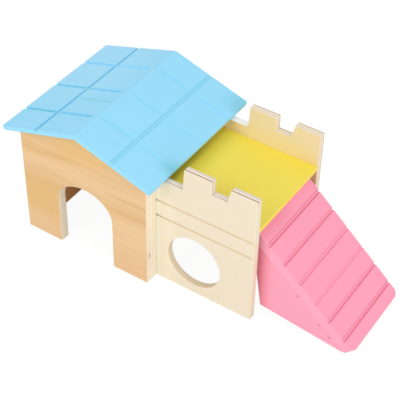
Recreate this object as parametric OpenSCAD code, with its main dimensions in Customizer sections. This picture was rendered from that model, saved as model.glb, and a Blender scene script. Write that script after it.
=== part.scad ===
// Wooden hamster house: a gabled hut with a grooved blue roof, a crenellated
// plywood tower with a yellow deck beside it, and a pink grooved ramp.
// Millimetres. The part stands on the floor, +Z up, with its origin below the
// middle of its overall box. X runs from the hut to the foot of the ramp.
// Inside place() the front left foot of the hut is at zero.

/* [Hut] */
// Width of the hut across its gable
hut_w = 100; // [90:1:115]
// Depth of the hut from gable face to gable face
hut_d = 100; // [94:1:120]
// Height of the gable at its point
ridge_h = 102.3; // [98:0.1:110]
// Slope of the roof in degrees
roof_pitch = 17.4; // [15:0.1:20]
// Thickness of the two gables
gable_t = 7; // [5:0.1:8]
// Thickness of the two side walls
side_t = 7; // [5:0.1:8]

/* [Doorways] */
// Width of an arched doorway
door_w = 43.7; // [40:0.1:52]
// Height of an arched doorway at its crown
door_h = 57; // [48:0.1:60]
// Height of the curved head of the doorway
door_head = 18; // [17.2:0.1:19.5]
// Radius of the shoulders of the doorway
door_shoulder_r = 16; // [10:0.1:17]
// How far the front doorway sits off the middle of the gable
door_shift = 0.5; // [-2:0.1:2]

/* [Roof] */
// Thickness of a roof board
roof_t = 3; // [2:0.1:5]
// Length of the left roof board down its slope, on the underside
left_slope_l = 61.5; // [58:0.1:68]
// Length of the right roof board down its slope, on the underside
right_slope_l = 59.5; // [56:0.1:61]
// Overhang of the roof past each gable
roof_overhang = 5.75; // [2:0.05:12]
// Radius of the corners at the eaves
eave_corner_r = 1; // [0.5:0.1:6]
// Distance of the long groove from the ridge on the left board
left_long_groove = 31.7; // [26:0.1:40]
// Distance of the long groove from the ridge on the right board
right_long_groove = 28.4; // [22:0.1:36]
// Number of cross grooves on a roof board
cross_groove_n = 3; // [1:1:3]
// Distance of the first cross groove from the front end of the board
cross_groove_start = 23; // [15:0.1:30]
// Spacing of the cross grooves
cross_groove_spacing = 31.4; // [24:0.1:34]
// How much further back the cross grooves of the right board are
right_groove_shift = 2.4; // [0:0.1:4]
// Width of the grooves in the roof
roof_groove_w = 2.4; // [1.2:0.1:4]
// Depth of the grooves in the left board
roof_groove_d = 0.9; // [0.4:0.1:1.4]
// Depth of the long groove in the right board
shallow_groove_d = 0.5; // [0.2:0.1:0.9]
// Depth of the faint cross grooves in the right board
faint_groove_d = 0.3; // [0.2:0.1:0.8]
// Plain strip left between the ridge and the cross grooves
ridge_strip = 3; // [1:0.1:8]

/* [Tower] */
// Length of the tower away from the hut
tower_l = 73.1; // [70:0.1:90]
// Distance of the tower's front face behind the front gable's face
tower_front_set = 10.5; // [10:0.1:14]
// Distance of the tower's back face before the back gable's face
tower_back_set = 8.5; // [8:0.1:14]
// Thickness of the two tower walls
tower_t = 5; // [4:0.1:6.5]
// Gap between the low part of a tower wall and the eave above it
eave_gap = 0.2; // [0.1:0.1:1.5]
// Height of the battlements above the low part of the wall
merlon_rise = 16.3; // [12:0.1:24]
// Height of the gap between the battlements above the low part of the wall
crenel_rise = 6.2; // [2:0.1:10]
// Distance of the first battlement from the hut
merlon_x = 20; // [14:0.1:22]
// Width of the first battlement at its foot
merlon_w = 21; // [16:0.1:24]
// Width of the gap between the battlements at its foot
crenel_w = 11.2; // [8:0.1:14]
// Lean of the first battlement's side nearest the hut
merlon_lean = 1; // [0:0.1:3]
// Lean of the second battlement's side nearest the hut
end_merlon_lean = 2.2; // [0:0.1:5]
// Diameter of the round hole
hole_d = 39.6; // [30:0.1:42]
// Distance of the middle of the hole from the hut
hole_x = 29.2; // [24:0.1:36]
// Height of the middle of the hole
hole_z = 26.6; // [24:0.1:30]
// Distance of the upper engraved line below the low part of the wall
high_line_drop = 17.5; // [12:0.1:20]
// Distance between the two engraved lines
line_spacing = 12.6; // [8:0.1:16]
// Width of the engraved lines
line_w = 1.6; // [0.8:0.1:2.4]
// Depth of the engraved lines
line_d = 0.6; // [0.3:0.1:1.2]
// Distance that the engraved lines stop short of the tower's end
line_end_gap = 3; // [0:0.1:6]

/* [Deck] */
// Distance of the deck's walking surface below the low part of the tower walls
deck_drop = 8.5; // [6:0.1:12]
// Thickness of the deck
deck_t = 3; // [2:0.1:6]
// Side of the square cleats under the deck
cleat_s = 8; // [5:0.1:10]
// Gap between the cleats and the upper end of the ramp
cleat_gap = 6; // [2:0.5:20]

/* [Ramp] */
// Distance of the ramp's foot from the end of the tower
ramp_reach = 64.9; // [60:0.1:110]
// Gap between the front tower wall and the ramp
ramp_front_gap = 3; // [1:0.1:8]
// Gap between the back tower wall and the ramp
ramp_back_gap = 5.7; // [1:0.1:8]
// Thickness of the ramp board
ramp_t = 7.5; // [6:0.1:9]
// Drop from the underside of the deck to the ramp at the deck's edge
ramp_drop = 5.3; // [2:0.1:8]
// Radius of the corners at the foot
ramp_corner_r = 5; // [1:0.1:6]
// Number of cross grooves on the ramp
ramp_groove_n = 6; // [2:1:6]
// Distance of the first groove from the foot
ramp_groove_start = 9.8; // [6:0.1:12]
// Spacing of the grooves on the ramp
ramp_groove_spacing = 15.2; // [11:0.05:15.5]
// Width of the grooves on the ramp
ramp_groove_w = 2.2; // [1.2:0.1:4]
// Depth of the deepest grooves on the ramp
ramp_groove_d = 0.9; // [0.4:0.1:1.5]
// Unevenness of the grooves, cut by hand: the most that one is off its even place
ramp_groove_drift = 0.7; // [0:0.1:1.5]
// Thickness of the ramp's side cheeks
cheek_t = 7; // [4:0.1:10]
// Distance of a cheek's tip from the foot, along the board
cheek_tip = 3; // [2:0.1:12]
// Height of the cheek's rear corner above the floor
cheek_lift = 8.8; // [2:0.1:14]
// Distance of the cheek's rear corner from the end of the tower
cheek_corner_x = 2.2; // [1:0.1:8]
// Lean of the cheek's rear edge in degrees
cheek_lean = 9; // [0:0.5:12]

/* [Brads] */
// Diameter of the wire brads
brad_d = 1.2; // [0.9:0.1:1.6]
// Length of the brads that hold the roof
roof_brad_l = 16; // [12:0.5:20]
// Length of the brads that hold the tower walls
tower_brad_l = 20; // [15:0.5:25]
// Length of the brads that hold the ramp board
ramp_brad_l = 14; // [12:0.5:15]
// Clearance round a brad in its hole
brad_play = 0.05; // [0.02:0.01:0.1]

/* [Hidden] */
$fn = 64;

// How far a cutting tool reaches past the face that it opens
cut = 1;
gable_wood = "#ebc392";
plain_ply = "#f1e5ce";
roof_blue = "#9bd8f6";
deck_yellow = "#efdc55";
ramp_pink = "#fca2bc";
brad_steel = "#b9bbbd";

// Hut: where the underside of the roof lies
ridge_x = hut_w / 2;
function roof_z(x) = ridge_h - abs(x - ridge_x) * tan(roof_pitch);
eave_z = ridge_h - right_slope_l * sin(roof_pitch);
roof_l = hut_d + 2 * roof_overhang;
inner_d = hut_d - 2 * gable_t;

// Doorways: the shoulders and the crown meet on a common tangent
door_jamb = door_h - door_head;
shoulder_x = door_w / 2 - door_shoulder_r;
crown_rise = door_head - door_shoulder_r;
crown_drop = (pow(shoulder_x, 2) - pow(crown_rise, 2)) / (2 * crown_rise);
crown_r = crown_drop + door_head;

// Tower: its faces, seen from the front
tower_front_y = tower_front_set;
tower_back_y = hut_d - tower_back_set;
room_front_y = tower_front_y + tower_t;
room_back_y = tower_back_y - tower_t;
tower_end_x = hut_w + tower_l;
low_wall_h = eave_z - eave_gap;
merlon_h = low_wall_h + merlon_rise;
crenel_h = low_wall_h + crenel_rise;
high_line_z = low_wall_h - high_line_drop;
low_line_z = high_line_z - line_spacing;
deck_under_z = low_wall_h - deck_drop - deck_t;

// Ramp: its slope follows from its reach and from the height of the deck's edge
ramp_top_h = deck_under_z - ramp_drop;
ramp_angle = acos(ramp_t / norm([ramp_reach, ramp_top_h])) - atan(ramp_reach / ramp_top_h);
foot_x = tower_end_x + ramp_reach;
ramp_front_y = room_front_y + ramp_front_gap;
ramp_back_y = room_back_y - ramp_back_gap;
ramp_w = ramp_back_y - ramp_front_y;
ramp_full_l = (deck_under_z + ramp_t) / sin(ramp_angle);
// Share of the drift that each groove has, from the foot up
ramp_drift_shares = [0, 0.4, -1, -0.2, 0.4, 0];
ramp_groove_places = [for (i = [0 : ramp_groove_n - 1])
    ramp_groove_start + i * ramp_groove_spacing + ramp_drift_shares[i] * ramp_groove_drift];
// Share of the full depth that each groove is cut to, from the foot up
ramp_depth_shares = [1, 1, 0.45, 0.65, 1, 1];
ramp_upper_x = foot_x - deck_under_z / tan(ramp_angle);
cleat_l = ramp_upper_x - cleat_gap - hut_w;

// Cheeks: the rear edge leans from its corner up to the board's underside
cheek_corner = [tower_end_x + cheek_corner_x, cheek_lift];
cheek_tip_point = [foot_x - cheek_tip * cos(ramp_angle), cheek_tip * sin(ramp_angle)];
cheek_corner_h = (foot_x - cheek_corner.x) * sin(ramp_angle) - cheek_corner.y * cos(ramp_angle);
cheek_edge_l = cheek_corner_h / cos(ramp_angle + cheek_lean);
cheek_top_point = cheek_corner + cheek_edge_l * [-sin(cheek_lean), cos(cheek_lean)];

// Brads: places along each seam
roof_brad_places = [0.25, 0.78];
tower_brad_zs = [hole_z - hole_d / 2, (low_line_z + high_line_z) / 2,
    (high_line_z + low_wall_h) / 2];
ramp_brad_bands = [0, 2, 4];
brad_hole_d = brad_d + 2 * brad_play;

// Middle of the overall box, which becomes the origin
left_x = ridge_x - left_slope_l * cos(roof_pitch) - roof_t * sin(roof_pitch);
right_x = foot_x + ramp_t * sin(ramp_angle);
middle_x = (left_x + right_x) / 2;
middle_y = hut_d / 2;

module place() {
    translate([-middle_x, -middle_y, 0]) children();
}

// Raises an outline drawn in X and Z into a panel of thickness t, from y to y + t
module upright(y, t) {
    translate([0, y + t, 0]) rotate([90, 0, 0]) linear_extrude(t) children();
}

// Raises an outline drawn in Y and Z into a panel from x to x + t
module sideways(x, t) {
    translate([x, 0, 0]) rotate([90, 0, 90]) linear_extrude(t) children();
}

// Cutter for a flat groove of width w and depth d in the face z = 0, lying along X from 0
// to l. Its start is round, as a small milling cutter leaves it.
module groove(l, w, d) {
    translate([w / 2, -w / 2, -d]) cube([l - w / 2, w, d + cut]);
    translate([w / 2, 0, -d]) cylinder(d = w, h = d + cut);
}

// Doorway outline, centred on zero: straight jambs, two shoulders, a flat crown
module doorway() {
    past = 3 * crown_r / norm([shoulder_x, crown_drop]);
    translate([-door_w / 2, -cut]) square([door_w, door_jamb + cut]);
    for (side = [-1, 1]) translate([side * shoulder_x, door_jamb]) circle(door_shoulder_r);
    translate([0, door_jamb - crown_drop]) intersection() {
        circle(crown_r);
        polygon([[0, 0], [shoulder_x * past, crown_drop * past], [0, 3 * crown_r],
            [-shoulder_x * past, crown_drop * past]]);
    }
}

// Gable outline: a rectangle with the roof's slopes on top
module gable_outline() {
    polygon([[0, 0], [hut_w, 0], [hut_w, roof_z(hut_w)], [ridge_x, ridge_h], [0, roof_z(0)]]);
}

// Puts a frame onto the right slope: X runs down it from the ridge, Y back, Z out of it
module on_right_slope() {
    translate([ridge_x, 0, ridge_h]) rotate([0, roof_pitch, 0]) children();
}

module on_left_slope() {
    translate([ridge_x, 0, ridge_h]) mirror([1, 0, 0]) rotate([0, roof_pitch, 0]) children();
}

// Brads of one roof board, or their holes, in the slope's frame
module roof_brad_set(slope_l, d) {
    for (part_l = roof_brad_places, y = [gable_t / 2, hut_d - gable_t / 2])
        translate([part_l * slope_l, y, roof_t - roof_brad_l]) cylinder(d = d, h = roof_brad_l);
}

// Outline of a roof board seen square to its slope, with rounded corners at the eave
module roof_outline(slope_l) {
    r = eave_corner_r;
    back = roof_t + cut;
    translate([-back, 0]) square([slope_l + back - r, roof_l]);
    translate([-back, r]) square([slope_l + back, roof_l - 2 * r]);
    for (y = [r, roof_l - r]) translate([slope_l - r, y]) circle(r);
}

// One grooved roof board in the slope's frame; its upper edge is cut plumb, so
// that it meets the other board on the ridge
module roof_board(slope_l, long_groove, long_d, cross_start, cross_d) {
    plumb = roof_t * tan(roof_pitch);
    difference() {
        intersection() {
            upright(-roof_overhang - cut, roof_l + 2 * cut)
                polygon([[0, 0], [slope_l + cut, 0], [slope_l + cut, roof_t], [-plumb, roof_t]]);
            translate([0, -roof_overhang, -cut]) linear_extrude(roof_t + 2 * cut)
                roof_outline(slope_l);
        }
        translate([long_groove, -roof_overhang - roof_groove_w, roof_t]) rotate([0, 0, 90])
            groove(roof_l + 2 * roof_groove_w, roof_groove_w, long_d);
        for (i = [0 : cross_groove_n - 1])
            translate([ridge_strip, cross_start + i * cross_groove_spacing - roof_overhang, roof_t])
                groove(slope_l, roof_groove_w, cross_d);
        roof_brad_set(slope_l, brad_hole_d);
    }
}

// Tower wall outline, from the hut outwards, with its battlements
module tower_outline() {
    crenel_x = merlon_x + merlon_w;
    end_merlon_x = crenel_x + crenel_w;
    translate([hut_w, 0]) difference() {
        polygon([[0, 0], [tower_l, 0], [tower_l, merlon_h],
            [end_merlon_x + end_merlon_lean, merlon_h], [end_merlon_x, crenel_h],
            [crenel_x, crenel_h], [crenel_x, merlon_h],
            [merlon_x + merlon_lean, merlon_h], [merlon_x, low_wall_h], [0, low_wall_h]]);
        translate([hole_x, hole_z]) circle(d = hole_d);
    }
}

// The two engraved lines as cutters in the wall face at y; they start round near the
// tower's end and run out at the hut. Side is 1 on the front face and -1 on the back face.
module engraved_lines(y, side) {
    for (z = [low_line_z, high_line_z])
        translate([tower_end_x - line_end_gap, y, z]) rotate([0, 0, 180]) rotate([-90 * side, 0, 0])
            groove(tower_l, line_w, line_d);
}

// Brads through the hut's side wall into the ends of the tower walls
module tower_brad_set(d) {
    for (y = [tower_front_y + tower_t / 2, tower_back_y - tower_t / 2], z = tower_brad_zs)
        translate([hut_w - side_t, y, z]) rotate([0, 90, 0]) cylinder(d = d, h = tower_brad_l);
}

// Puts the ramp's frame on its slope: X runs up from the foot along the underside,
// Y back from the front edge, Z out of the walking surface
module on_ramp() {
    translate([foot_x, ramp_front_y, 0]) mirror([1, 0, 0]) rotate([0, -ramp_angle, 0]) children();
}

// Brads of the ramp board, or their holes, each in the middle of a band between grooves
module ramp_brad_set(d) {
    for (band = ramp_brad_bands, y = [cheek_t / 2, ramp_w - cheek_t / 2])
        translate([ramp_groove_start + (band + 0.5) * ramp_groove_spacing, y, ramp_t - ramp_brad_l])
            cylinder(d = d, h = ramp_brad_l);
}

// Outline of the ramp board seen square to its slope, with rounded corners at its foot
module ramp_outline() {
    r = ramp_corner_r;
    translate([r, 0]) square([ramp_full_l - r, ramp_w]);
    translate([0, r]) square([ramp_full_l, ramp_w - 2 * r]);
    for (y = [r, ramp_w - r]) translate([r, y]) circle(r);
}

// A triangular cheek that keeps inside the board's rounded outline at the foot
module ramp_cheek(y) {
    difference() {
        intersection() {
            upright(y, cheek_t) polygon([cheek_tip_point, cheek_top_point, cheek_corner]);
            on_ramp() translate([0, 0, -deck_under_z]) linear_extrude(deck_under_z + cut)
                ramp_outline();
        }
        on_ramp() ramp_brad_set(brad_hole_d);
    }
}

module deck_cleat(y) {
    translate([hut_w, y, deck_under_z - cleat_s]) cube([cleat_l, cleat_s, cleat_s]);
}

module roof_brad_holes() {
    on_left_slope() roof_brad_set(left_slope_l, brad_hole_d);
    on_right_slope() roof_brad_set(right_slope_l, brad_hole_d);
}

module front_gable() {
    color(gable_wood) place() difference() {
        upright(0, gable_t) difference() {
            gable_outline();
            translate([ridge_x + door_shift, 0]) doorway();
        }
        roof_brad_holes();
    }
}

module back_gable() {
    color(gable_wood) place() difference() {
        upright(hut_d - gable_t, gable_t) gable_outline();
        roof_brad_holes();
    }
}

module left_side_wall() {
    color(gable_wood) place() upright(gable_t, inner_d)
        polygon([[0, 0], [side_t, 0], [side_t, roof_z(side_t)], [0, roof_z(0)]]);
}

// The wall between hut and tower has a doorway like the one in the front gable
module right_side_wall() {
    inner_x = hut_w - side_t;
    color(gable_wood) place() difference() {
        upright(gable_t, inner_d)
            polygon([[inner_x, 0], [hut_w, 0], [hut_w, roof_z(hut_w)], [inner_x, roof_z(inner_x)]]);
        sideways(inner_x - cut, side_t + 2 * cut) translate([hut_d / 2, 0]) doorway();
        tower_brad_set(brad_hole_d);
    }
}

module left_roof_board() {
    color(roof_blue) place() on_left_slope()
        roof_board(left_slope_l, left_long_groove, roof_groove_d, cross_groove_start,
            roof_groove_d);
}

module right_roof_board() {
    color(roof_blue) place() on_right_slope()
        roof_board(right_slope_l, right_long_groove, shallow_groove_d,
            cross_groove_start + right_groove_shift, faint_groove_d);
}

module tower_front_wall() {
    color(plain_ply) place() difference() {
        upright(tower_front_y, tower_t) tower_outline();
        engraved_lines(tower_front_y, 1);
        tower_brad_set(brad_hole_d);
    }
}

module tower_back_wall() {
    color(plain_ply) place() difference() {
        upright(room_back_y, tower_t) tower_outline();
        engraved_lines(tower_back_y, -1);
        tower_brad_set(brad_hole_d);
    }
}

module deck() {
    color(deck_yellow) place() translate([hut_w, room_front_y, deck_under_z])
        cube([tower_l, room_back_y - room_front_y, deck_t]);
}

module front_deck_cleat() {
    color(plain_ply) place() deck_cleat(room_front_y);
}

module back_deck_cleat() {
    color(plain_ply) place() deck_cleat(room_back_y - cleat_s);
}

// The board's upper end is cut level and bears on the underside of the deck
module ramp_board() {
    color(ramp_pink) place() difference() {
        on_ramp() difference() {
            linear_extrude(ramp_t) ramp_outline();
            for (i = [0 : ramp_groove_n - 1])
                translate([ramp_groove_places[i], -ramp_groove_w, ramp_t]) rotate([0, 0, 90])
                    groove(ramp_w + 2 * ramp_groove_w, ramp_groove_w,
                        ramp_groove_d * ramp_depth_shares[i]);
            ramp_brad_set(brad_hole_d);
        }
        translate([hut_w, 0, deck_under_z]) cube([tower_l + ramp_reach, hut_d, merlon_h]);
    }
}

module front_ramp_cheek() {
    color(ramp_pink) place() ramp_cheek(ramp_front_y);
}

module back_ramp_cheek() {
    color(ramp_pink) place() ramp_cheek(ramp_back_y - cheek_t);
}

module left_roof_brads() {
    color(brad_steel) place() on_left_slope() roof_brad_set(left_slope_l, brad_d);
}

module right_roof_brads() {
    color(brad_steel) place() on_right_slope() roof_brad_set(right_slope_l, brad_d);
}

module tower_brads() {
    color(brad_steel) place() tower_brad_set(brad_d);
}

module ramp_brads() {
    color(brad_steel) place() on_ramp() ramp_brad_set(brad_d);
}

front_gable();
back_gable();
left_side_wall();
right_side_wall();
left_roof_board();
right_roof_board();
tower_front_wall();
tower_back_wall();
deck();
front_deck_cleat();
back_deck_cleat();
ramp_board();
front_ramp_cheek();
back_ramp_cheek();
left_roof_brads();
right_roof_brads();
tower_brads();
ramp_brads();
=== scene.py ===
"""Looks for the wooden hamster house: sanded plywood walls, painted roof, deck and ramp.

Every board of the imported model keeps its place. Each one is replaced by a copy of itself with
sanded edges, in the finish of the real board. The tower's brads stay and get a steel finish, and
the others are painted over. Lengths are in metres unless a name ends in _mm or _MM, and a place
on a board is given in millimetres along its grain, across it, and in depth from its back.
"""

import math
from collections import namedtuple

import bmesh
import bpy
from mathutils import Matrix, Vector


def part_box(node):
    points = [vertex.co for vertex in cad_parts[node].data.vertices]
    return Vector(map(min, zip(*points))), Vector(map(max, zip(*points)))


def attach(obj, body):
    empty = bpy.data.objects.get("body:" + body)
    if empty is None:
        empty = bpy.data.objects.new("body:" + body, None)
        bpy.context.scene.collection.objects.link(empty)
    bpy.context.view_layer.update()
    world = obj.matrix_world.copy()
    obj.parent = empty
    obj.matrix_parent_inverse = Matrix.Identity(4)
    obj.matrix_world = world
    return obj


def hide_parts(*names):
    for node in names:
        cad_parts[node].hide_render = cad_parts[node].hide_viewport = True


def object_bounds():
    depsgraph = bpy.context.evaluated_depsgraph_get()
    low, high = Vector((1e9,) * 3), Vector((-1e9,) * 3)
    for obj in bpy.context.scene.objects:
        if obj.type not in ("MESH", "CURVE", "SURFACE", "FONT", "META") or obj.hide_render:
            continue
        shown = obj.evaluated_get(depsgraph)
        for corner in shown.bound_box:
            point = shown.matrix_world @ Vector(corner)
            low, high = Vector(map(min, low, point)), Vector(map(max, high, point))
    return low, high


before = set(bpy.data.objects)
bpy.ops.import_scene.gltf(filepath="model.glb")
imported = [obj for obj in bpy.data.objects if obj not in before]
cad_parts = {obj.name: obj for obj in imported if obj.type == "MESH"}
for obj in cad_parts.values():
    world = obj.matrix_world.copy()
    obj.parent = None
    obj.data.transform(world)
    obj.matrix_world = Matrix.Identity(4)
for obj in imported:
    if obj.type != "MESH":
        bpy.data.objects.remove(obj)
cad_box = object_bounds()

bl_info = {
    "name": "Wooden hamster house",
    "version": (1, 1, 0),
    "blender": (4, 5, 0),
    "location": "3D View > Sidebar > Hamster house",
    "description": "Plywood, paint and brads for a small wooden pet house with a tower and a ramp",
    "category": "Object",
}

MM = 0.001
BODY = "root"

# The hut, deck and ramp as the frame gives them, and the ridge over the middle of the hut
HUT_LOW, HUT_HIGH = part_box("front_gable")
DECK_LOW, DECK_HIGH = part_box("deck")
RAMP_LOW, RAMP_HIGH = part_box("ramp_board")
RIDGE_X = (HUT_LOW.x + HUT_HIGH.x) / 2

# Slopes, thicknesses and grooves of the boards that lie at an angle, as in the part's source
ROOF_PITCH = math.radians(17.4)
ROOF_THICK_MM = 3.0
ROOF_OVERHANG_MM = 5.75
ROOF_GROOVE_MM = 2.4
LEFT_LONG_GROOVE_MM = 31.7
RIGHT_LONG_GROOVE_MM = 28.4
LEFT_CROSS_GROOVES_MM = [23 + 31.4 * i for i in range(3)]
RIGHT_CROSS_GROOVES_MM = [25.4 + 31.4 * i for i in range(3)]
RAMP_THICK_MM = 7.5
RAMP_GROOVE_MM = 2.2
RAMP_GROOVE_DRIFTS_MM = [0, 0.28, -0.7, -0.14, 0.28, 0]
RAMP_GROOVES_MM = [9.8 + 15.2 * i + drift for i, drift in enumerate(RAMP_GROOVE_DRIFTS_MM)]
# How strong the painted shade is in each of the ramp's grooves, from the foot up
RAMP_GROOVE_SHADE = (0.9, 0.65, 0.2, 0.55, 0.65, 1)

# Places on the tower's front wall, as in the part's source
LINE_HEIGHTS_MM = (54.2, 66.8)
HOLE_ALONG_MM, HOLE_HEIGHT_MM = 29.2, 26.6
TOWER_LENGTH_MM = 73.1

# Bands of the hut's sliced veneer, over its pale tan: each one's tone and strength, and the
# middle, half width and soft edge of its height in millimetres on the front gable
VENEER_BANDS = [
    ("yellow", 1.0, (90, 21, 8)), ("yellow", 0.8, (44, 4, 5)), ("band", 0.25, (0, 12, 24)),
    ("band", 0.33, (52, 7, 5)), ("band", 0.5, (46, 3, 6)), ("band", 0.65, (74, 1.8, 4.5)),
]
# The bands run up to this height, and beyond it down again
VENEER_REACH_MM = 100.0
# The bands rise by this much of the way along a board, and start higher up with each seed
VENEER_RISE = 0.086
VENEER_START_MM = 1.3
VENEER_SEED_STEP_MM = 7

# Relief of the bare sanded wood, of the paint film, and of the drawn wire
SANDED_RELIEF_MM = 0.25
PAINT_RELIEF_MM = 0.03
DRAWN_RELIEF_MM = 0.01
# The real drawing marks are finer than this, the finest that still shows
DRAWING_MARK_MM = 0.2
# The tone of painted wood's deepest streaks, as a share of the paint's own
STREAK_TONE = 0.86
# Plies run into each other over twice this share of a sawn edge
PLY_BLUR = 0.012

# Limits in depth of a mark that lies on a board's inner face only
INNER_FACE = (0, 0.6, 0.2)

# Edges shorter than this belong to drilled holes, and faces narrower than this to grooves
DRILLED_MM = 1.0
GROOVE_WALL_MM = 1.2
# Corners nearer than this are one corner
MERGE_MM = 0.002
# Two faces that bend less than this where they meet are one flat
FLAT_BEND = math.radians(0.5)
# The facets of a curved wall bend by more than the first of these and less than the second
LEAST_CURVE, MOST_CURVE = math.radians(0.6), math.radians(35)
# Edges that bend more than this are sanded
SANDED_BEND = math.radians(20)

# The lamps' places from the middle of the house, and how wide they are
KEY_PLACE = Vector((-0.54, -1.14, 0.73))
FILL_PLACE = Vector((1.25, -0.52, 0.54))
LAMP_WIDTH = 0.9
# The point that the camera looks at, from the front left foot of the hut
AIM_MM = (101.24, 60.15, 30.0)
# The width of its sensor, and the nearest and farthest that it sees
SENSOR_MM = 36
NEAREST, FARTHEST = 0.01, 20

# The floor's half width, what it reflects, and how it is shown: mostly plain white, with a
# small part that the house shades
FLOOR_REACH = 4.0
FLOOR_WHITE = 0.8
FLOOR_SHOWN_MATT = 0.08
FLOOR_SHOWN_PLAIN = 0.945

# A board's own directions: along its grain, across it, and out of its good face
Board = namedtuple("Board", "low along across out thick_mm")


def linear(hex_colour):
    """An sRGB hex colour such as "#9bd8f6" as linear red, green, blue and alpha."""
    parts = [int(hex_colour[i : i + 2], 16) / 255 for i in (1, 3, 5)]
    return [p / 12.92 if p <= 0.04045 else ((p + 0.055) / 1.055) ** 2.4 for p in parts] + [1.0]


def colour_property(name, description, hex_colour):
    return bpy.props.FloatVectorProperty(
        name=name, description=description, subtype="COLOR", size=4, min=0, max=1,
        default=linear(hex_colour),
    )


def length_property(name, description, default_mm):
    return bpy.props.FloatProperty(
        name=name, description=description, unit="LENGTH", min=0, default=default_mm * MM
    )


class HouseTimber(bpy.types.PropertyGroup):
    """Bare plywood of the walls"""

    veneer: colour_property("Veneer", "Pale tan of the hut's veneer", "#f1cc9e")
    yellow: colour_property("Yellow veneer", "Yellower tan of the hut, mostly high up", "#ecc48c")
    band: colour_property("Growth band", "Darker bands of the hut's veneer", "#dcb177")
    line: colour_property("Growth line", "Growth lines and pores of the hut's veneer", "#d0a063")
    leg: colour_property("Yellow leg", "Yellow heart in the left leg of the hut", "#e5bb78")
    # painted shade: the inner faces get a darker, warmer tan for the shade inside the hut
    inner: colour_property("Inner face", "Darker heart on the hut's inner faces", "#e89f42")
    cream: colour_property("Cream ply", "Cream plies in the hut's sawn edges", "#fff1dc")
    grey: colour_property("Grey ply", "Grey plies in the hut's sawn edges", "#f3eee0")
    # a ply colour, and on the rounded arrises partly a painted highlight where light catches them
    sanded: colour_property("Sanded edge colour", "Pale wood on the sanded edges", "#fbe9cf")
    tower: colour_property("Tower face", "Pale face veneer of the tower", "#eee1cb")
    tower_warm: colour_property("Tower warm", "Warm bands of the tower's veneer", "#f1e3c8")
    tower_core: colour_property("Tower core", "Grey core ply of the tower", "#dfd2c7")
    glue: colour_property("Glue line", "Dark glue line in the tower's sawn edges", "#8f4f3c")
    engraved: colour_property("Engraved line", "Browned wood in the engraved lines", "#d2c284")
    arris: length_property("Sanded edge", "Width of the sanded edge on a bare board", 0.35)
    fibre: length_property("Fibre width", "Width of the fine streaks in the veneers", 0.8)


class HousePaint(bpy.types.PropertyGroup):
    """Paint of the roof, deck and ramp"""

    blue: colour_property("Roof blue", "Paint of the roof boards", "#99e0ff")
    # used for painted shade in the roof's grooves, and for the real scratch and two darker patches
    blue_groove: colour_property("Roof groove", "Paint in the roof's grooves", "#70cfd6")
    yellow: colour_property("Deck yellow", "Paint of the deck", "#f8e555")
    pink: colour_property("Ramp pink", "Paint of the ramp", "#ff9fb9")
    # painted highlight: the ramp board's edges and arrises are a lighter pink
    pink_edge_highlight: colour_property("Ramp edge", "Paint on the ramp board's edges", "#ffa8c1")
    pink_cheek: colour_property("Cheek pink", "Paint of the ramp's cheeks", "#ffa4bd")
    # painted shade: deeper pink for the ramp's grooves, the deck's shadow on the ramp and the
    # tower's shadow on the cheek
    deep_pink_shade: colour_property("Ramp groove", "Thick paint in the ramp's grooves", "#f28fa9")
    # painted shade for the groove lines and the cheek's corner, and the colour of the cheek's real
    # dents
    pink_dent_and_shade_line: colour_property("Ramp line", "Dark line beside each groove", "#c75c78")
    arris: length_property("Soft edge", "Width of the edge under the paint", 0.25)
    tooth: length_property("Paint texture", "Size of the paint film's fine texture", 0.5)


class HouseStage(bpy.types.PropertyGroup):
    """Camera and light"""

    azimuth: bpy.props.FloatProperty(
        name="Azimuth", description="Camera's turn round the house from the front",
        subtype="ANGLE", default=math.radians(32.57),
    )
    elevation: bpy.props.FloatProperty(
        name="Elevation", description="Camera's height above the horizon",
        subtype="ANGLE", default=math.radians(41.97),
    )
    roll: bpy.props.FloatProperty(
        name="Roll", description="Camera's lean", subtype="ANGLE", default=math.radians(1.42)
    )
    distance: length_property("Distance", "From the camera to the point it looks at", 784.8)
    focal: bpy.props.FloatProperty(
        name="Focal length", description="On a 36 mm wide sensor, in millimetres", default=104.5
    )
    sky: bpy.props.FloatProperty(
        name="Sky", description="Strength of the even white surroundings", min=0, default=0.74
    )
    key: bpy.props.FloatProperty(
        name="Key light", description="Power of the large soft lamp at the front left",
        subtype="POWER", default=5.4,
    )
    fill: bpy.props.FloatProperty(
        name="Fill light", description="Power of the large soft lamp at the right",
        subtype="POWER", default=6.3,
    )


def add_node(tree, kind, inputs=None, output=0, stops=None, **settings):
    """Adds a node with its settings and links, and returns one of its outputs. inputs maps a
    socket's name or number to a value or to another node's output, and stops are the places
    and colours of a colour ramp. A mix takes its factor at 0 and its two colours at 6 and 7,
    and a range takes its value at 0 and its limits, from and to, at 1 to 4."""
    made = tree.nodes.new(kind)
    for key, value in settings.items():
        setattr(made, key, value)
    for key, value in (inputs or {}).items():
        if isinstance(value, bpy.types.NodeSocket):
            tree.links.new(value, made.inputs[key])
        else:
            made.inputs[key].default_value = value
    if stops:
        places = made.color_ramp.elements
        places.remove(places[1])
        places[0].position, places[0].color = stops[0]
        for place, colour in stops[1:]:
            places.new(place).color = colour
    return made.outputs[output] if made.outputs else None


def new_material(name):
    """An empty material and its node tree."""
    made = bpy.data.materials.new(name)
    made.use_nodes = True
    made.node_tree.nodes.clear()
    return made, made.node_tree


def close_material(tree, colour, relief, relief_mm, surface):
    """Gives the material its shader, with that colour, a relief of that depth, and the surface's
    own settings."""
    normal = add_node(
        tree, "ShaderNodeBump", {"Strength": 1.0, "Distance": relief_mm * MM, "Height": relief}
    )
    shader = add_node(
        tree, "ShaderNodeBsdfPrincipled", {"Base Color": colour, "Normal": normal, **surface}
    )
    add_node(tree, "ShaderNodeOutputMaterial", {"Surface": shader})


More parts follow.
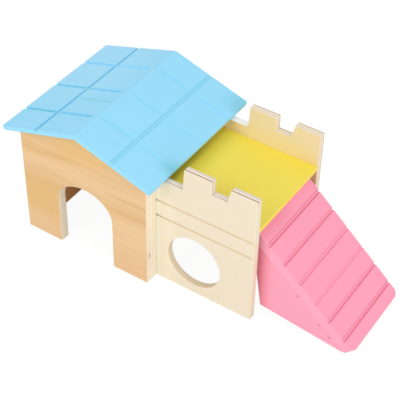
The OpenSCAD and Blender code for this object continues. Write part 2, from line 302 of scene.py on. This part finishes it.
def board_space(tree, board):
    """The place on a board in millimetres, as a vector (along the grain, across it, depth from
    the back) and as its three parts, and how squarely the surface there faces out of the
    board, from 0 on an edge to 1 on a face."""
    place = add_node(tree, "ShaderNodeTexCoord", output="Object")
    place = add_node(
        tree, "ShaderNodeVectorMath", {0: place, 1: board.low}, operation="SUBTRACT"
    )
    place = add_node(
        tree, "ShaderNodeVectorMath", {0: place, "Scale": 1 / MM}, operation="SCALE"
    )
    axes = [
        add_node(tree, "ShaderNodeVectorMath", {0: place, 1: way}, "Value", operation="DOT_PRODUCT")
        for way in (board.along, board.across, board.out)
    ]
    vector = add_node(tree, "ShaderNodeCombineXYZ", dict(enumerate(axes)))
    normal = add_node(tree, "ShaderNodeNewGeometry", output="Normal")
    facing = add_node(
        tree, "ShaderNodeVectorMath", {0: normal, 1: board.out}, "Value", operation="DOT_PRODUCT"
    )
    facing = add_node(tree, "ShaderNodeMath", {0: facing}, operation="ABSOLUTE")
    # the arris at 45 degrees, whose facing is 0.7, comes out halfway
    face = add_node(tree, "ShaderNodeMapRange", {0: facing, 1: 0.55, 2: 0.85})
    return vector, axes, face


def grain(tree, vector, sizes_mm, seed, low=0.0, high=1.0, detail=2.0):
    """Noise from low to high, whose blotches have those sizes along, across and through a
    board. The raw noise lies mostly between 0.3 and 0.7, and is stretched from there."""
    place = add_node(
        tree, "ShaderNodeMapping",
        {"Vector": vector, "Location": [seed] * 3, "Scale": [1 / size for size in sizes_mm]},
    )
    noise = add_node(
        tree, "ShaderNodeTexNoise", {"Vector": place, "Scale": 1.0, "Detail": detail}
    )
    return add_node(tree, "ShaderNodeMapRange", {0: noise, 1: 0.3, 2: 0.7, 3: low, 4: high})


def mark(colour, strength, along=None, across=None, depth=None):
    """A patch of colour on a board. Each limit is the patch's middle, its half width and the
    width of its soft edge, in millimetres."""
    limits = {axis: limit for axis, limit in enumerate((along, across, depth)) if limit}
    return linear(colour) if isinstance(colour, str) else list(colour), strength, limits


def marked(tree, base, axes, marks):
    """The base colour with marks over it."""
    for colour, strength, limits in marks:
        mask = strength
        for axis, (middle, half, soft) in limits.items():
            off = add_node(
                tree, "ShaderNodeMath", {0: axes[axis], 1: middle}, operation="SUBTRACT"
            )
            off = add_node(tree, "ShaderNodeMath", {0: off}, operation="ABSOLUTE")
            inside = add_node(
                tree, "ShaderNodeMapRange",
                {0: off, 1: half - soft / 2, 2: half + soft / 2, 3: 1.0, 4: 0.0},
                interpolation_type="SMOOTHSTEP",
            )
            mask = add_node(tree, "ShaderNodeMath", {0: inside, 1: mask}, operation="MULTIPLY")
        base = add_node(
            tree, "ShaderNodeMix", {0: mask, 6: base, 7: colour}, 2, data_type="RGBA"
        )
    return base


def ply_edge(tree, depth, thick_mm, plies):
    """Colour of a sawn plywood edge, from plies given as (share of the thickness, colour),
    back to front, with a narrow blur between them."""
    place = add_node(tree, "ShaderNodeMath", {0: depth, 1: thick_mm}, operation="DIVIDE")
    stops, start = [], 0.0
    for share, colour in plies:
        blur = min(PLY_BLUR, share / 4)
        stops += [(start + blur, list(colour)), (start + share - blur, list(colour))]
        start += share
    return add_node(tree, "ShaderNodeValToRGB", {0: place}, stops=stops)


def sanded_edges_and_highlight(tree, face, flat, edge, sanded):
    """The colour of the flat on faces, of the sawn edge on edges, and of pale sanded wood on the
    rounded arris between them, which is also a painted highlight along the edges."""
    between = add_node(tree, "ShaderNodeMath", {0: 1.0, 1: face}, operation="SUBTRACT")
    between = add_node(tree, "ShaderNodeMath", {0: between, 1: face}, operation="MULTIPLY")
    # the product is 0.25 halfway, which makes the middle of the arris 0.8 sanded
    between = add_node(tree, "ShaderNodeMath", {0: between, 1: 3.2}, operation="MULTIPLY")
    body = add_node(tree, "ShaderNodeMix", {0: face, 6: edge, 7: flat}, 2, data_type="RGBA")
    return add_node(
        tree, "ShaderNodeMix", {0: between, 6: body, 7: list(sanded)}, 2, data_type="RGBA"
    )


def hut_plywood(name, board, seed, marks=(), edge_marks=(), plain_marks=()):
    """Paulownia-faced plywood, sliced veneer, sanded and left bare. The eye gets soft bands of
    pale, yellow and darker tan that rise a little along the board, fine streaks along the
    grain, and pale plies in the sawn edges. The streaks run over the marks, but not over the
    plain ones."""
    timber = bpy.context.scene.house_timber
    made, tree = new_material(name)
    vector, axes, face = board_space(tree, board)
    wander = grain(tree, vector, (55, 26, 60), seed, low=-1.6, high=1.6, detail=1)
    level = add_node(
        tree, "ShaderNodeMath", {0: axes[0], 1: -VENEER_RISE, 2: axes[1]}, operation="MULTIPLY_ADD"
    )
    level = add_node(tree, "ShaderNodeMath", {0: level, 1: wander}, operation="ADD")
    start_mm = VENEER_START_MM + seed * VENEER_SEED_STEP_MM
    level = add_node(tree, "ShaderNodeMath", {0: level, 1: start_mm}, operation="ADD")
    level = add_node(
        tree, "ShaderNodeMath", {0: level, 1: VENEER_REACH_MM}, operation="PINGPONG"
    )
    bands = [
        mark(getattr(timber, tone), strength, across=height)
        for tone, strength, height in VENEER_BANDS
    ]
    flat = marked(tree, list(timber.veneer), (axes[0], level, axes[2]), bands)
    streaks = grain(tree, vector, (24, timber.fibre / MM, 16), seed, high=0.2, detail=3)
    rings = grain(tree, vector, (130, 2.6, 60), seed + 5, high=0.17, detail=3)
    fine_lines = [mark(timber.line, streaks), mark(timber.line, rings)]
    flat = marked(tree, flat, axes, [*marks, *fine_lines, *plain_marks])
    edge = ply_edge(tree, axes[2], board.thick_mm, [
        (0.09, timber.sanded), (0.25, timber.cream), (0.04, timber.sanded), (0.26, timber.grey),
        (0.04, timber.sanded), (0.22, timber.cream), (0.10, timber.sanded),
    ])
    edge = marked(tree, edge, axes, [mark(timber.line, streaks), *edge_marks])
    body = sanded_edges_and_highlight(tree, face, flat, edge, timber.sanded)
    close_material(tree, body, streaks, SANDED_RELIEF_MM, {"Roughness": 0.62})
    return made


def tower_plywood(name, board, seed, marks=(), edge_marks=()):
    """Basswood plywood, rotary-cut, sanded and left bare. The eye gets an almost plain pale
    cream face with faint bands, and edges with brown glue lines beside a greyish core."""
    timber = bpy.context.scene.house_timber
    made, tree = new_material(name)
    vector, axes, face = board_space(tree, board)
    bands = grain(tree, vector, (120, 12, 60), seed)
    streaks = grain(tree, vector, (18, timber.fibre / MM, 12), seed, high=0.12, detail=3)
    flat = add_node(
        tree, "ShaderNodeMix", {0: bands, 6: list(timber.tower), 7: list(timber.tower_warm)}, 2,
        data_type="RGBA",
    )
    flat = marked(tree, flat, axes, [mark(timber.engraved, streaks), *marks])
    edge = ply_edge(tree, axes[2], board.thick_mm, [
        (0.12, timber.tower), (0.30, timber.tower_core), (0.20, timber.cream),
        (0.08, timber.tower_core), (0.11, timber.glue), (0.19, timber.tower),
    ])
    edge = marked(tree, edge, axes, edge_marks)
    body = sanded_edges_and_highlight(tree, face, flat, edge, timber.sanded)
    close_material(tree, body, streaks, SANDED_RELIEF_MM, {"Roughness": 0.6})
    return made


def painted_wood(name, board, colour, seed, marks=(), edge_colour=None):
    """Plywood or pine with two coats of matt water-based paint, rolled on. The eye gets an even
    matt colour with faint streaks of the grain below and a fine film texture. The marks it is given
    add the rest, such as painted shade in the grooves."""
    paint = bpy.context.scene.house_paint
    made, tree = new_material(name)
    vector, axes, face = board_space(tree, board)
    deeper = [part * STREAK_TONE for part in colour[:3]] + [1.0]
    blotches = grain(tree, vector, (60, 22, 40), seed, high=0.1)
    streaks = grain(tree, vector, (40, 1.6, 20), seed, high=0.12, detail=3)
    film = grain(tree, vector, [paint.tooth / MM] * 3, seed, detail=1)
    tones = [mark(deeper, blotches), mark(deeper, streaks)]
    body = marked(tree, list(colour), axes, [*tones, *marks])
    if edge_colour is not None:
        body = add_node(
            tree, "ShaderNodeMix", {0: face, 6: list(edge_colour), 7: body}, 2, data_type="RGBA"
        )
    height = add_node(tree, "ShaderNodeMath", {0: streaks, 1: film}, operation="ADD")
    close_material(tree, body, height, PAINT_RELIEF_MM, {"Roughness": 0.5})
    return made


def drawn_steel(name):
    """Bright steel wire, drawn and cut. The eye gets a small grey glint with fine rings."""
    made, tree = new_material(name)
    place = add_node(tree, "ShaderNodeTexCoord", output="Object")
    rings = grain(tree, place, [DRAWING_MARK_MM * MM] * 3, seed=0.0)
    colour = add_node(
        tree, "ShaderNodeValToRGB", {0: rings},
        stops=[(0.0, linear("#a9acaf")), (1.0, linear("#c9cbcd"))],
    )
    surface = {"Roughness": 0.35, "Metallic": 1.0}
    close_material(tree, colour, rings, DRAWN_RELIEF_MM, surface)
    return made


def sanded_copy(node, arris, seam_x=None):
    """A copy of a board whose long outer edges are rounded over by arris. The edges of drilled
    holes and of shallow grooves stay as they are, and so do those on the seam between two
    boards."""
    work = bmesh.new()
    work.from_mesh(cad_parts[node].data)
    bmesh.ops.remove_doubles(work, verts=work.verts, dist=MERGE_MM * MM)
    bmesh.ops.dissolve_limit(work, angle_limit=FLAT_BEND, verts=work.verts, edges=work.edges)
    rounded = []
    for edge in work.edges:
        on_seam = seam_x is not None and all(abs(v.co.x - seam_x) < 0.01 * MM for v in edge.verts)
        if len(edge.link_faces) < 2 or edge.calc_length() < DRILLED_MM * MM or on_seam:
            continue
        narrow = min(
            face.calc_area() / max(side.calc_length() for side in face.edges)
            for face in edge.link_faces
        )
        if edge.calc_face_angle_signed() > SANDED_BEND and narrow > GROOVE_WALL_MM * MM:
            rounded.append(edge)
    arrises = set(bmesh.ops.bevel(
        work, geom=rounded, offset=arris, segments=2, profile=0.5, affect="EDGES",
        clamp_overlap=False,
    )["faces"])
    # the arrises and the curved walls of holes shade smoothly, and every flat face stays flat
    for edge in work.edges:
        sides = [face in arrises for face in edge.link_faces]
        edge.smooth = all(sides) or (not any(sides) and edge.calc_face_angle(0) < MOST_CURVE)
    for face in work.faces:
        face.smooth = face in arrises or any(
            edge.smooth and edge.calc_face_angle(0) > LEAST_CURVE for edge in face.edges
        )
    mesh = bpy.data.meshes.new(node + "_sanded")
    work.to_mesh(mesh)
    work.free()
    # the frame's own corner directions don't fit the rounded edges
    if "custom_normal" in mesh.attributes:
        mesh.attributes.remove(mesh.attributes["custom_normal"])
    made = bpy.data.objects.new(node + "_sanded", mesh)
    bpy.context.scene.collection.objects.link(made)
    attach(made, BODY)
    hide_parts(node)
    return made


def dress(node, arris, material, seam_x=None):
    """Replaces a board by its sanded copy in that finish."""
    made = sanded_copy(node, arris, seam_x)
    made.data.materials.append(material)


def refinish(node, material):
    """Gives a piece of the frame another finish."""
    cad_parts[node].data.materials.clear()
    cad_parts[node].data.materials.append(material)


def upright_board(node, out):
    """An upright board that faces along out: grain level, height up, from the lower corner of
    its back."""
    low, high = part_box(node)
    out = Vector(out)
    along = Vector((-out.y, out.x, 0))
    way = along + out
    corner = Vector((low.x if way.x > 0 else high.x, low.y if way.y > 0 else high.y, low.z))
    return Board(corner, along, Vector((0, 0, 1)), out, abs((high - low).dot(out)) / MM)


def roof_frame(side):
    """The left (-1) or right (1) roof board: grain down the slope from the ridge, face up."""
    ridge = Vector((RIDGE_X, HUT_LOW.y - ROOF_OVERHANG_MM * MM, HUT_HIGH.z))
    down = Vector((side * math.cos(ROOF_PITCH), 0, -math.sin(ROOF_PITCH)))
    out = Vector((side * math.sin(ROOF_PITCH), 0, math.cos(ROOF_PITCH)))
    return Board(ridge, down, Vector((0, 1, 0)), out, ROOF_THICK_MM)


def ramp_angle():
    """The ramp's slope, from the height and length of its box. The box holds the board's foot,
    cut square, and its upper end, cut level."""
    rise, run = RAMP_HIGH.z - RAMP_LOW.z, RAMP_HIGH.x - RAMP_LOW.x
    thick = RAMP_THICK_MM * MM
    low, high = math.radians(10), math.radians(80)
    # each round halves what is left between the two, until nothing is
    for _ in range(60):
        middle = (low + high) / 2
        if rise / math.tan(middle) + thick * math.sin(middle) > run:
            low = middle
        else:
            high = middle
    return middle


def ramp_frame():
    """The ramp board: grain up the slope from the foot's lower corner, face up."""
    slope = ramp_angle()
    foot = Vector((RAMP_HIGH.x - RAMP_THICK_MM * MM * math.sin(slope), RAMP_LOW.y, RAMP_LOW.z))
    up = Vector((-math.cos(slope), 0, math.sin(slope)))
    out = Vector((math.sin(slope), 0, math.cos(slope)))
    return Board(foot, up, Vector((0, 1, 0)), out, RAMP_THICK_MM)


class HOUSE_OT_gables(bpy.types.Operator):
    """Front and back gables in bare plywood"""

    bl_idname = "house.gables"
    bl_label = "Gables"

    def execute(self, context):
        timber = context.scene.house_timber
        front_marks = [
            # the left leg is yellow heartwood
            mark(timber.leg, 0.85, along=(8, 26, 14), across=(34, 17, 16)),
            # the dark band at 74 mm fades to the right
            mark("#edc696", 0.8, along=(74, 28, 12), across=(78, 6, 4)),
            # two growth lines are darker than the others
            mark(timber.line, 0.3, along=(90, 20, 10), across=(64.3, 0.9, 1.4)),
            mark(timber.line, 0.25, along=(16, 14, 8), across=(61, 0.8, 1.4)),
            # a pale patch in the right leg, and yellow ones below the ridge and by the doorway
            mark("#f1ce9f", 0.6, along=(86, 18, 6), across=(40, 9, 8)),
            mark("#efc27c", 0.7, along=(50, 20, 18), across=(90, 12, 12)),
            mark("#efc583", 0.5, along=(68, 6, 8), across=(47, 8, 8)),
        ]
        front_edge_marks = [
            # the doorway is sanded plain, and paler as a painted highlight where light falls on it
            mark("#fff2d6", 0.75, along=(50, 30, 2), across=(20, 40, 2)),
            # a small void in the core ply shows in the right edge
            mark(
                "#5e4238", 0.85, along=(100, 0.6, 0.2), across=(23, 2, 1.2),
                depth=(3.9, 0.35, 0.3),
            ),
        ]
        # painted shade: the inner face is darker and warmer for the shade inside the hut
        back_marks = [mark(timber.inner, 0.95, depth=INNER_FACE)]
        for node, out, seed, marks, edge_marks in (
            ("front_gable", (0, -1, 0), 0.0, front_marks, front_edge_marks),
            ("back_gable", (0, 1, 0), 23.0, back_marks, []),
        ):
            finish = hut_plywood(
                node + "_bare_paulownia_plywood", upright_board(node, out), seed, marks, edge_marks
            )
            dress(node, timber.arris, finish)
        return {"FINISHED"}


class HOUSE_OT_side_walls(bpy.types.Operator):
    """Side walls of the hut in bare plywood"""

    bl_idname = "house.side_walls"
    bl_label = "Side walls"

    def execute(self, context):
        timber = context.scene.house_timber
        # painted shade: the inner faces are darker and warmer for the shade inside the hut
        marks = [mark(timber.inner, 0.95, depth=INNER_FACE)]
        # a pale strip of sapwood shows beside the tower
        strip = [mark("#efe8cd", 0.95, along=(1, 3.5, 1), depth=(7, 1, 0.2))]
        for node, out, seed, plain_marks in (
            ("left_side_wall", (-1, 0, 0), 41.0, []),
            ("right_side_wall", (1, 0, 0), 57.0, strip),
        ):
            finish = hut_plywood(
                node + "_bare_paulownia_plywood", upright_board(node, out), seed, marks,
                plain_marks=plain_marks,
            )
            dress(node, timber.arris, finish)
        return {"FINISHED"}


class HOUSE_OT_roof(bpy.types.Operator):
    """Both roof boards in matt blue paint, which also covers their brads"""

    bl_idname = "house.roof"
    bl_label = "Roof boards"

    def execute(self, context):
        paint = context.scene.house_paint
        groove, half = paint.blue_groove, ROOF_GROOVE_MM / 2
        by_eave, by_ridge = (52, 20, 14), (17, 15, 10)
        left_marks = [
            # painted light: a lilac tint on this slope, as the light falls on it, but not by the
            # ridge or at the front
            mark("#a3e2ff", 0.9, along=(45, 32, 26), across=(98, 55, 56)),
            # painted shade in the long groove
            mark(groove, 0.2, along=(LEFT_LONG_GROOVE_MM, half, 0.4)),
        ]
        # painted shade in the cross grooves, strongest at the eave, and hardly any in the hindmost
        for place, at_eave, at_ridge in zip(LEFT_CROSS_GROOVES_MM, (0.6, 0.5, 0.05), (0.3, 0.2, 0)):
            left_marks += [
                mark(groove, at_eave, along=by_eave, across=(place, half, 0.5)),
                mark(groove, at_ridge, along=by_ridge, across=(place, half, 0.5)),
            ]
        left_marks += [
            # painted light: the hindmost groove is lighter by the ridge, against the shade of its
            # depth
            mark("#a8e8ff", 1.0, along=by_ridge, across=(LEFT_CROSS_GROOVES_MM[2], half, 0.5)),
            # a scratch of three fine lines near the ridge
            mark(groove, 0.9, along=(14, 13, 6), across=(41.4, 0.5, 0.5)),
            mark(groove, 0.35, along=(15, 12, 6), across=(43.7, 0.4, 0.5)),
            mark(groove, 0.15, along=(15, 9, 6), across=(46.2, 0.4, 0.5)),
        ]
        # the right board's grooves are shallow and nearly filled with paint; painted shade draws
        # faint lines along the long groove's edges and over the cross grooves
        right_marks = [
            mark(groove, strength, along=(RIGHT_LONG_GROOVE_MM + off, 0.35, 0.4))
            for off, strength in ((-1.05, 0.25), (1.05, 0.5))
        ] + [
            mark(groove, 0.08, along=(10, 14, 14), across=(place, 2.2, 2.4))
            for place in RIGHT_CROSS_GROOVES_MM
        ] + [
            # two soft darker patches by the eave
            mark(groove, 0.55, along=(60, 8, 14), across=(25.5, 5, 14)),
            mark(groove, 0.45, along=(60, 9, 18), across=(106, 9, 14)),
        ]
        for node, side, seed, marks in (
            ("left_roof_board", -1, 59.0, left_marks), ("right_roof_board", 1, 61.0, right_marks),
        ):
            finish = painted_wood(
                node + "_matt_blue_paint", roof_frame(side), paint.blue, seed, marks
            )
            dress(node, paint.arris, finish, seam_x=RIDGE_X)
            refinish(node.replace("board", "brads"), finish)
        return {"FINISHED"}


class HOUSE_OT_tower(bpy.types.Operator):
    """Tower walls in bare pale plywood"""

    bl_idname = "house.tower"
    bl_label = "Tower walls"

    def execute(self, context):
        timber = context.scene.house_timber
        # painted light: the face is paler by the hut, against the shade in the corner
        front_marks = [
            mark("#f9edd2", 0.7, along=(0, 12, 16)), mark("#fffcea", 0.9, along=(0, 3, 3)),
        ]
        # the engraved lines are browned, and scorched where the cutter went in by the hut
        front_marks += [
            mark(timber.engraved, 0.5, along=(35, 38, 1), across=(height, 0.8, 0.4))
            for height in LINE_HEIGHTS_MM
        ] + [
            mark("#86703f", 0.6, along=(0.4, 0.9, 0.8), across=(height, 0.9, 0.5))
            for height in LINE_HEIGHTS_MM
        ]
        # the glue shows on the merlons' sawn tops: the rest of the edge is sanded plainer
        low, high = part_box("tower_front_wall")
        half_height = (high.z - low.z) / MM / 2
        front_edge_marks = [
            mark("#eadfd2", 0.55, across=(half_height - 1, half_height, 0.5)),
            mark("#fdecca", 0.9, along=(HOLE_ALONG_MM, 22, 2), across=(HOLE_HEIGHT_MM, 22, 2)),
            # painted light: the right end is plainer, and its colour is shifted against the pink
            # light that the ramp throws on it
            mark("#ece4c8", 0.95, along=(TOWER_LENGTH_MM, 0.8, 0.4), across=(48, 50, 3)),
        ]
        # painted reflection: the back wall's inner face is yellower from the light off the yellow
        # deck, most of all just above the deck
        back_marks = [
            mark("#ecd9ac", 0.9, depth=INNER_FACE),
            mark("#e6c684", 0.6, along=(0, 14, 16), across=(70, 10, 12), depth=INNER_FACE),
            mark("#eed690", 0.35, across=(78, 8, 14), depth=INNER_FACE),
        ]
        # its edge is paler all along, and a painted highlight lies on the low part by the hut
        back_edge_marks = [mark("#eee1c6", 0.6), mark("#fffdf8", 0.9, along=(64, 10.5, 1))]
        for node, out, seed, marks, edge_marks in (
            ("tower_front_wall", (0, -1, 0), 5.0, front_marks, front_edge_marks),
            ("tower_back_wall", (0, 1, 0), 9.0, back_marks, back_edge_marks),
        ):
            finish = tower_plywood(
                node + "_bare_basswood_plywood", upright_board(node, out), seed, marks, edge_marks
            )
            dress(node, timber.arris, finish)
        return {"FINISHED"}


class HOUSE_OT_deck(bpy.types.Operator):
    """Deck in matt yellow paint, and its cleats in bare wood"""

    bl_idname = "house.deck"
    bl_label = "Deck and cleats"

    def execute(self, context):
        paint = context.scene.house_paint
        board = Board(
            Vector(DECK_LOW), Vector((1, 0, 0)), Vector((0, 1, 0)), Vector((0, 0, 1)),
            (DECK_HIGH.z - DECK_LOW.z) / MM,
        )
        marks = [
            # the yellow is brighter by the back wall; along the hut, painted light lifts the shade
            # under the eave
            mark("#fbe54e", 0.6, across=(71, 9, 18)),
            mark("#fff15a", 0.9, along=(6, 12, 24)),
            # painted shade: dark right under the eave, most of all at the front
            mark("#9c9c30", 0.4, along=(0, 4.5, 6)),
            mark("#9c9c30", 0.7, along=(0, 4.5, 6), across=(0, 50, 40)),
            # and a painted highlight on the lower half of the edge above the ramp
            mark("#ffe04e", 0.9, along=(TOWER_LENGTH_MM, 0.5, 0.3), depth=(0.8, 0.9, 0.6)),
        ]
        finish = painted_wood("deck_matt_yellow_paint", board, paint.yellow, 81.0, marks)
        dress("deck", paint.arris, finish)
        for node in ("front_deck_cleat", "back_deck_cleat"):
            finish = tower_plywood(node + "_bare_basswood", upright_board(node, (0, 1, 0)), 70.0)
            dress(node, context.scene.house_timber.arris, finish)
        return {"FINISHED"}


class HOUSE_OT_ramp(bpy.types.Operator):
    """Ramp board in matt pink paint, which also covers its brads"""

    bl_idname = "house.ramp"
    bl_label = "Ramp board"

    def execute(self, context):
        paint = context.scene.house_paint
        half, top = RAMP_GROOVE_MM / 2, (RAMP_THICK_MM, 1, 0.2)
        marks = []
        # painted shade in each groove, with a dark line below it and a fine one above
        for place, strength in zip(RAMP_GROOVES_MM, RAMP_GROOVE_SHADE):
            below, above = place - half + 0.35, place + half + 0.4
            marks += [
                mark(paint.deep_pink_shade, 0.15 * strength, along=(place, half, 0.3), depth=top),
                mark(paint.pink_dent_and_shade_line, 0.34 * strength, along=(below, 0.35, 0.3), depth=top),
                mark(paint.pink_dent_and_shade_line, 0.6 * strength, along=(above, 0.25, 0.3), depth=top),
            ]
        # painted shadow of the deck's edge on the ramp below it
        marks.append(
            mark(paint.deep_pink_shade, 0.8, along=(97, 8, 10), across=(5, 24, 24), depth=top)
        )
        # the board's edges get the lighter pink of a painted highlight
        finish = painted_wood(
            "ramp_matt_pink_paint", ramp_frame(), paint.pink, 17.0, marks, paint.pink_edge_highlight
        )
        dress("ramp_board", paint.arris, finish)
        refinish("ramp_brads", finish)
        return {"FINISHED"}


class HOUSE_OT_cheeks(bpy.types.Operator):
    """Ramp cheeks in matt pink paint"""

    bl_idname = "house.cheeks"
    bl_label = "Ramp cheeks"

    def execute(self, context):
        paint = context.scene.house_paint
        # painted shadow: the tower wall's shade on the cheek, darkest in the corner by the tower
        front_marks = [
            mark("#f5889a", 0.9, along=(0, 12, 12)), mark(paint.deep_pink_shade, 0.7, along=(0, 6, 6)),
            mark(paint.pink_dent_and_shade_line, 0.85, along=(0, 2.6, 3)),
        ]
        # and there are three small dents
        front_marks += [
            mark(paint.pink_dent_and_shade_line, 0.75, along=(place, 0.8, 0.9), across=(height, 0.6, 0.8))
            for place, height in ((34.5, 30.0), (51.1, 13.8), (59.3, 7.3))
        ]
        for node, out, marks in (
            ("front_ramp_cheek", (0, -1, 0), front_marks), ("back_ramp_cheek", (0, 1, 0), []),
        ):
            board, name = upright_board(node, out), node + "_matt_pink_paint"
            finish = painted_wood(name, board, paint.pink_cheek, 31.0, marks)
            dress(node, paint.arris, finish)
        return {"FINISHED"}


class HOUSE_OT_brads(bpy.types.Operator):
    """The tower's wire brads in drawn steel"""

    bl_idname = "house.brads"
    bl_label = "Tower brads"

    def execute(self, context):
        refinish("tower_brads", drawn_steel("bright_drawn_steel"))
        return {"FINISHED"}


class HOUSE_OT_stage(bpy.types.Operator):
    """Pale floor, even surroundings, two large soft lamps and the camera"""

    bl_idname = "house.stage"
    bl_label = "Stage"

    def execute(self, context):
        stage = context.scene.house_stage
        middle = (cad_box[0] + cad_box[1]) / 2
        build_floor(cad_box[0].z)
        build_sky(context.scene, stage.sky)
        build_lamp("key_lamp", middle + KEY_PLACE, middle, stage.key)
        build_lamp("fill_lamp", middle + FILL_PLACE, middle, stage.fill)
        build_camera(context.scene, stage)
        return {"FINISHED"}


def build_floor(height):
    """A wide pale floor that the camera sees as white except where the house shades it."""
    mesh = bpy.data.meshes.new("floor")
    corners = [
        (x * FLOOR_REACH, y * FLOOR_REACH, height) for x, y in ((-1, -1), (1, -1), (1, 1), (-1, 1))
    ]
    mesh.from_pydata(corners, [], [(0, 1, 2, 3)])
    floor = bpy.data.objects.new("floor", mesh)
    bpy.context.scene.collection.objects.link(floor)
    made, tree = new_material("matt_white_paper")
    paper, shaded = (
        add_node(tree, "ShaderNodeBsdfDiffuse", {"Color": [level] * 3 + [1]})
        for level in (FLOOR_WHITE, FLOOR_SHOWN_MATT)
    )
    plain = add_node(
        tree, "ShaderNodeEmission", {"Color": [1, 1, 1, 1], "Strength": FLOOR_SHOWN_PLAIN}
    )
    seen = add_node(tree, "ShaderNodeAddShader", {0: shaded, 1: plain})
    way = camera_glossy_or_clear(tree)
    shown = add_node(tree, "ShaderNodeMixShader", {0: way, 1: paper, 2: seen})
    add_node(tree, "ShaderNodeOutputMaterial", {"Surface": shown})
    mesh.materials.append(made)


def camera_glossy_or_clear(tree):
    """1 for what the camera sees, straight, in a reflection or through something clear."""
    ways = [
        add_node(tree, "ShaderNodeLightPath", output=name)
        for name in ("Is Camera Ray", "Is Glossy Ray", "Is Transmission Ray")
    ]
    either = add_node(tree, "ShaderNodeMath", {0: ways[0], 1: ways[1]}, operation="MAXIMUM")
    return add_node(tree, "ShaderNodeMath", {0: either, 1: ways[2]}, operation="MAXIMUM")


def build_sky(scene, strength):
    """Even surroundings of that strength, which are seen as plain white."""
    world = bpy.data.worlds.new("even_white")
    scene.world = world
    world.use_nodes = True
    tree = world.node_tree
    tree.nodes.clear()
    seen = camera_glossy_or_clear(tree)
    level = add_node(tree, "ShaderNodeMapRange", {0: seen, 3: strength, 4: 1.0})
    light = add_node(tree, "ShaderNodeBackground", {"Color": [1, 1, 1, 1], "Strength": level})
    add_node(tree, "ShaderNodeOutputWorld", {"Surface": light})


def build_lamp(name, place, target, power):
    """A large square lamp at place that points at target."""
    data = bpy.data.lights.new(name, "AREA")
    data.shape = "SQUARE"
    data.size = LAMP_WIDTH
    data.energy = power
    lamp = bpy.data.objects.new(name, data)
    lamp.location = place
    lamp.rotation_mode = "QUATERNION"
    lamp.rotation_quaternion = (target - place).to_track_quat("-Z", "Y")
    bpy.context.scene.collection.objects.link(lamp)


def build_camera(scene, stage):
    """The camera at the photograph's angle. It looks at a point inside the house, where hut and
    tower meet."""
    target = HUT_LOW + Vector(AIM_MM) * MM
    turn, rise = stage.azimuth, stage.elevation
    ahead = Vector((
        -math.sin(turn) * math.cos(rise), math.cos(turn) * math.cos(rise), -math.sin(rise)
    ))
    right = Vector((math.cos(turn), math.sin(turn), 0))
    up = right.cross(ahead)
    level = Matrix((right, up, -ahead)).transposed()
    data = bpy.data.cameras.new("camera")
    data.sensor_width = SENSOR_MM
    data.lens = stage.focal
    data.clip_start, data.clip_end = NEAREST, FARTHEST
    camera = bpy.data.objects.new("camera", data)
    camera.matrix_world = Matrix.Translation(target - ahead * stage.distance) @ (
        level @ Matrix.Rotation(stage.roll, 3, "Z")
    ).to_4x4()
    scene.collection.objects.link(camera)
    scene.camera = camera
    scene.view_settings.view_transform = "Standard"


GROUPS = {"house_timber": HouseTimber, "house_paint": HousePaint, "house_stage": HouseStage}
PIECES = (
    HOUSE_OT_gables, HOUSE_OT_side_walls, HOUSE_OT_roof, HOUSE_OT_tower, HOUSE_OT_deck,
    HOUSE_OT_ramp, HOUSE_OT_cheeks, HOUSE_OT_brads, HOUSE_OT_stage,
)


class HOUSE_PT_panel(bpy.types.Panel):
    """The house's pieces in the 3D view's sidebar"""

    bl_idname = "HOUSE_PT_panel"
    bl_label = "Hamster house"
    bl_space_type = "VIEW_3D"
    bl_region_type = "UI"
    bl_category = "Hamster house"

    def draw(self, context):
        for group in GROUPS:
            box = self.layout.box()
            settings = getattr(context.scene, group)
            for name in settings.__annotations__:
                box.prop(settings, name)
        for piece in PIECES:
            self.layout.operator(piece.bl_idname)


def register():
    for made in (*GROUPS.values(), *PIECES, HOUSE_PT_panel):
        bpy.utils.register_class(made)
    for name, group in GROUPS.items():
        setattr(bpy.types.Scene, name, bpy.props.PointerProperty(type=group))


def unregister():
    for name in GROUPS:
        delattr(bpy.types.Scene, name)
    for made in (HOUSE_PT_panel, *reversed(PIECES), *reversed(list(GROUPS.values()))):
        bpy.utils.unregister_class(made)


def main():
    register()
    for piece in PIECES:
        group, name = piece.bl_idname.split(".")
        getattr(getattr(bpy.ops, group), name)()


if __name__ == "__main__":
    main()
